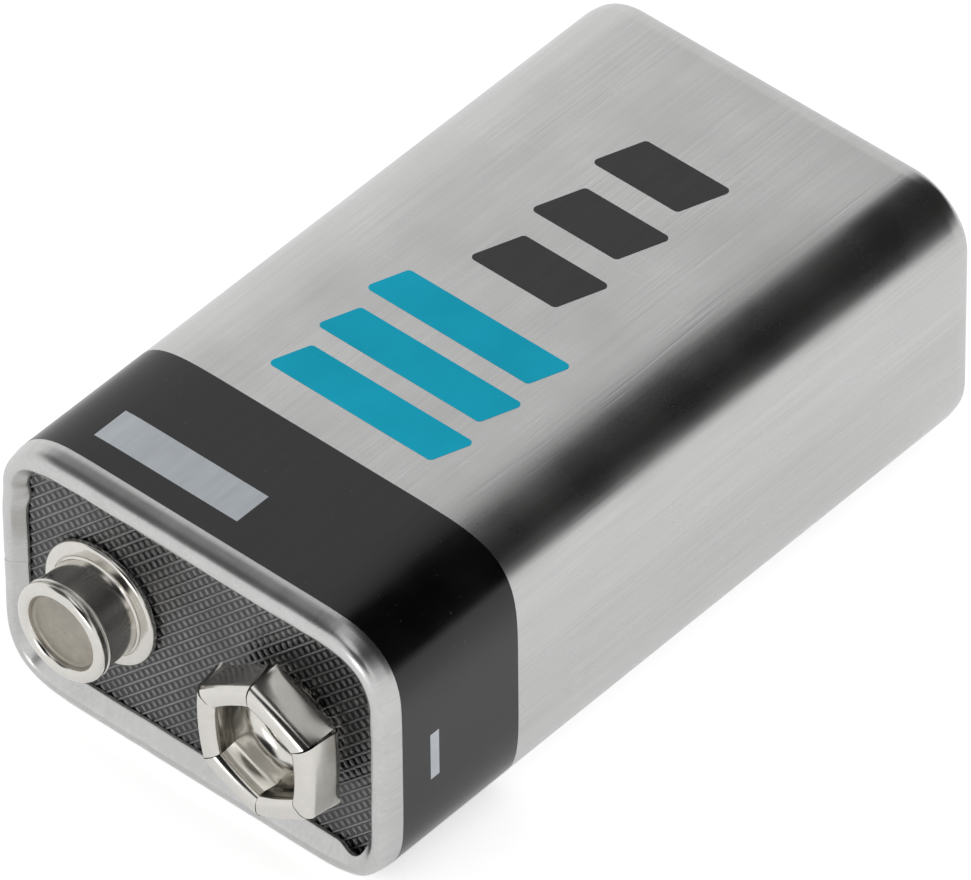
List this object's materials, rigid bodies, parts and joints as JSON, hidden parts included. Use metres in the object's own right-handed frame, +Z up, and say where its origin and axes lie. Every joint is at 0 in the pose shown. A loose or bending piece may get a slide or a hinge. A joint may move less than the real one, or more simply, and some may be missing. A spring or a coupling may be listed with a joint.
{
  "type": "nine volt battery",
  "caption": "Nine volt snap battery: rolled steel jacket over round cells in series, with a snap stud and a petalled snap socket on the end plate.",
  "frame": {"origin": "on the resting face, under the middle of the whole length, terminals included", "axes": "+Z up from the broad face it lies on, +Y from the terminals to the base, +X towards the negative terminal's side"},
  "size_m": [0.0254, 0.0468, 0.0164],
  "materials": {
    "tinned_steel": "fine brushed, scratched",
    "black_ink": "satin lacquer",
    "pale_ink": "satin lacquer",
    "cyan_ink": "satin lacquer",
    "dark_ink": "satin lacquer",
    "black_board": "embossed board",
    "base_plastic": "matte",
    "nickel_plate": "bright plated, lightly scuffed",
    "strap_nickel": "satin",
    "cell_steel": "satin",
    "card_paper": "matt",
    "liner_film": "matt film"
  },
  "bodies": {
    "root": {"jacket": "tinned_steel", "black_band": "black_ink", "blank_panel": "pale_ink", "minus_mark": "pale_ink", "plus_mark": "pale_ink", "cyan_bars": "cyan_ink", "dark_bars": "dark_ink", "terminal_plate": "black_board", "base_plate": "base_plastic", "positive_stud": "nickel_plate", "negative_socket": "nickel_plate", "positive_rivet": "nickel_plate", "negative_rivet": "nickel_plate", "positive_lead": "strap_nickel", "negative_lead": "strap_nickel", "front_card": "card_paper", "base_card": "card_paper", "cell_liner": "liner_film", "cell_1": "cell_steel", "cell_2": "cell_steel", "cell_3": "cell_steel", "cell_4": "cell_steel", "cell_5": "cell_steel", "cell_6": "cell_steel", "front_link_1": "strap_nickel", "front_link_2": "strap_nickel", "base_link_1": "strap_nickel", "base_link_2": "strap_nickel", "base_link_3": "strap_nickel"}
  },
  "joints": []
}
